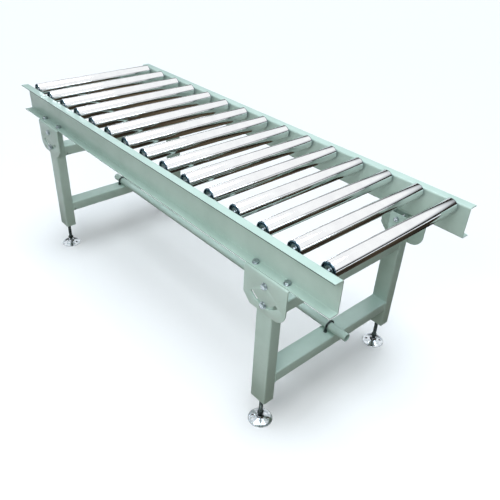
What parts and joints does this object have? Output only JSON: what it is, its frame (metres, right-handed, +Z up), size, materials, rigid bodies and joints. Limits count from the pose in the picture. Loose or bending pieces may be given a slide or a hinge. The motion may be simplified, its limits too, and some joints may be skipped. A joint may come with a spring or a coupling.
{
  "type": "gravity roller conveyor",
  "caption": "Straight gravity roller conveyor: free-running chromed rollers between channel rails on two tied H-stands with levelling feet.",
  "frame": {"origin": "on the floor under the middle of the bed, at the centre of the feet's lowest plane", "axes": "+X along the conveyor towards its front end, +Y across it towards the far rail, +Z up"},
  "size_m": [2.1, 0.793, 0.83],
  "materials": {
    "green_paint": "semi-gloss pale sage green enamel on steel",
    "chromed_tube": "bright hard chrome on ground tube",
    "zinc_steel": "bright zinc plate",
    "dark_steel": "oiled dark steel",
    "pad_chrome": "bright plated pressing"
  },
  "bodies": {
    "bed": {"rail_near": "green_paint", "rail_far": "green_paint", "axle_01": "zinc_steel", "axle_02": "zinc_steel", "axle_03": "zinc_steel", "axle_04": "zinc_steel", "axle_05": "zinc_steel", "axle_06": "zinc_steel", "axle_07": "zinc_steel", "axle_08": "zinc_steel", "axle_09": "zinc_steel", "axle_10": "zinc_steel", "axle_11": "zinc_steel", "axle_12": "zinc_steel", "axle_13": "zinc_steel", "axle_14": "zinc_steel", "axle_15": "zinc_steel", "bracket_front_near": "green_paint", "bracket_front_far": "green_paint", "bracket_back_near": "green_paint", "bracket_back_far": "green_paint"},
    "roller_01": {"roller_01": "chromed_tube"},
    "roller_02": {"roller_02": "chromed_tube"},
    "roller_03": {"roller_03": "chromed_tube"},
    "roller_04": {"roller_04": "chromed_tube"},
    "roller_05": {"roller_05": "chromed_tube"},
    "roller_06": {"roller_06": "chromed_tube"},
    "roller_07": {"roller_07": "chromed_tube"},
    "roller_08": {"roller_08": "chromed_tube"},
    "roller_09": {"roller_09": "chromed_tube"},
    "roller_10": {"roller_10": "chromed_tube"},
    "roller_11": {"roller_11": "chromed_tube"},
    "roller_12": {"roller_12": "chromed_tube"},
    "roller_13": {"roller_13": "chromed_tube"},
    "roller_14": {"roller_14": "chromed_tube"},
    "roller_15": {"roller_15": "chromed_tube"},
    "stand_front": {"stand_front": "green_paint", "u_bolt_front": "dark_steel", "pivot_bolt_front_near": "zinc_steel", "lock_bolt_front_near": "zinc_steel", "pivot_bolt_front_far": "zinc_steel", "lock_bolt_front_far": "zinc_steel"},
    "stand_back": {"stand_back": "green_paint", "u_bolt_back": "dark_steel", "pivot_bolt_back_near": "zinc_steel", "lock_bolt_back_near": "zinc_steel", "pivot_bolt_back_far": "zinc_steel", "lock_bolt_back_far": "zinc_steel"},
    "tie_tube": {"tie_tube": "green_paint"},
    "foot_stud_front_near": {"foot_stud_front_near": "dark_steel"},
    "foot_pad_front_near": {"foot_pad_front_near": "pad_chrome"},
    "foot_stud_front_far": {"foot_stud_front_far": "dark_steel"},
    "foot_pad_front_far": {"foot_pad_front_far": "pad_chrome"},
    "foot_stud_back_near": {"foot_stud_back_near": "dark_steel"},
    "foot_pad_back_near": {"foot_pad_back_near": "pad_chrome"},
    "foot_stud_back_far": {"foot_stud_back_far": "dark_steel"},
    "foot_pad_back_far": {"foot_pad_back_far": "pad_chrome"}
  },
  "joints": [
    {"name": "roller_01_spin", "type": "hinge", "parent": "bed", "child": "roller_01", "pos_m": [-0.98, 0, 0.8015], "axis": [0, 1, 0], "continuous": true},
    {"name": "roller_02_spin", "type": "hinge", "parent": "bed", "child": "roller_02", "pos_m": [-0.84, 0, 0.8015], "axis": [0, 1, 0], "continuous": true},
    {"name": "roller_03_spin", "type": "hinge", "parent": "bed", "child": "roller_03", "pos_m": [-0.7, 0, 0.8015], "axis": [0, 1, 0], "continuous": true},
    {"name": "roller_04_spin", "type": "hinge", "parent": "bed", "child": "roller_04", "pos_m": [-0.56, 0, 0.8015], "axis": [0, 1, 0], "continuous": true},
    {"name": "roller_05_spin", "type": "hinge", "parent": "bed", "child": "roller_05", "pos_m": [-0.42, 0, 0.8015], "axis": [0, 1, 0], "continuous": true},
    {"name": "roller_06_spin", "type": "hinge", "parent": "bed", "child": "roller_06", "pos_m": [-0.28, 0, 0.8015], "axis": [0, 1, 0], "continuous": true},
    {"name": "roller_07_spin", "type": "hinge", "parent": "bed", "child": "roller_07", "pos_m": [-0.14, 0, 0.8015], "axis": [0, 1, 0], "continuous": true},
    {"name": "roller_08_spin", "type": "hinge", "parent": "bed", "child": "roller_08", "pos_m": [0, 0, 0.8015], "axis": [0, 1, 0], "continuous": true},
    {"name": "roller_09_spin", "type": "hinge", "parent": "bed", "child": "roller_09", "pos_m": [0.14, 0, 0.8015], "axis": [0, 1, 0], "continuous": true},
    {"name": "roller_10_spin", "type": "hinge", "parent": "bed", "child": "roller_10", "pos_m": [0.28, 0, 0.8015], "axis": [0, 1, 0], "continuous": true},
    {"name": "roller_11_spin", "type": "hinge", "parent": "bed", "child": "roller_11", "pos_m": [0.42, 0, 0.8015], "axis": [0, 1, 0], "continuous": true},
    {"name": "roller_12_spin", "type": "hinge", "parent": "bed", "child": "roller_12", "pos_m": [0.56, 0, 0.8015], "axis": [0, 1, 0], "continuous": true},
    {"name": "roller_13_spin", "type": "hinge", "parent": "bed", "child": "roller_13", "pos_m": [0.7, 0, 0.8015], "axis": [0, 1, 0], "continuous": true},
    {"name": "roller_14_spin", "type": "hinge", "parent": "bed", "child": "roller_14", "pos_m": [0.84, 0, 0.8015], "axis": [0, 1, 0], "continuous": true},
    {"name": "roller_15_spin", "type": "hinge", "parent": "bed", "child": "roller_15", "pos_m": [0.98, 0, 0.8015], "axis": [0, 1, 0], "continuous": true},
    {"name": "stand_front_swing", "type": "hinge", "parent": "bed", "child": "stand_front", "pos_m": [0.785, 0, 0.653], "axis": [0, 1, 0], "range_deg": [-4, 4]},
    {"name": "stand_back_swing", "type": "hinge", "parent": "bed", "child": "stand_back", "pos_m": [-0.785, 0, 0.653], "axis": [0, 1, 0], "range_deg": [-4, 4]},
    {"name": "tie_tube_pivot", "type": "hinge", "parent": "stand_front", "child": "tie_tube", "pos_m": [0.785, 0, 0.28], "axis": [0, 1, 0], "range_deg": [-4, 4]},
    {"name": "foot_front_near_height", "type": "slide", "parent": "stand_front", "child": "foot_stud_front_near", "axis": [0, 0, -1], "range_m": [-0.07, 0.035]},
    {"name": "foot_front_near_tilt", "type": "hinge", "parent": "foot_stud_front_near", "child": "foot_pad_front_near", "pos_m": [0.785, -0.349, 0.013], "axis": [0, 1, 0], "range_deg": [-8, 8]},
    {"name": "foot_front_far_height", "type": "slide", "parent": "stand_front", "child": "foot_stud_front_far", "axis": [0, 0, -1], "range_m": [-0.07, 0.035]},
    {"name": "foot_front_far_tilt", "type": "hinge", "parent": "foot_stud_front_far", "child": "foot_pad_front_far", "pos_m": [0.785, 0.349, 0.013], "axis": [0, 1, 0], "range_deg": [-8, 8]},
    {"name": "foot_back_near_height", "type": "slide", "parent": "stand_back", "child": "foot_stud_back_near", "axis": [0, 0, -1], "range_m": [-0.07, 0.035]},
    {"name": "foot_back_near_tilt", "type": "hinge", "parent": "foot_stud_back_near", "child": "foot_pad_back_near", "pos_m": [-0.785, -0.349, 0.013], "axis": [0, 1, 0], "range_deg": [-8, 8]},
    {"name": "foot_back_far_height", "type": "slide", "parent": "stand_back", "child": "foot_stud_back_far", "axis": [0, 0, -1], "range_m": [-0.07, 0.035]},
    {"name": "foot_back_far_tilt", "type": "hinge", "parent": "foot_stud_back_far", "child": "foot_pad_back_far", "pos_m": [-0.785, 0.349, 0.013], "axis": [0, 1, 0], "range_deg": [-8, 8]}
  ],
  "couplings": [
    {"joint": "stand_back_swing", "follows": "stand_front_swing", "ratio": 1},
    {"joint": "tie_tube_pivot", "follows": "stand_front_swing", "ratio": -1}
  ]
}
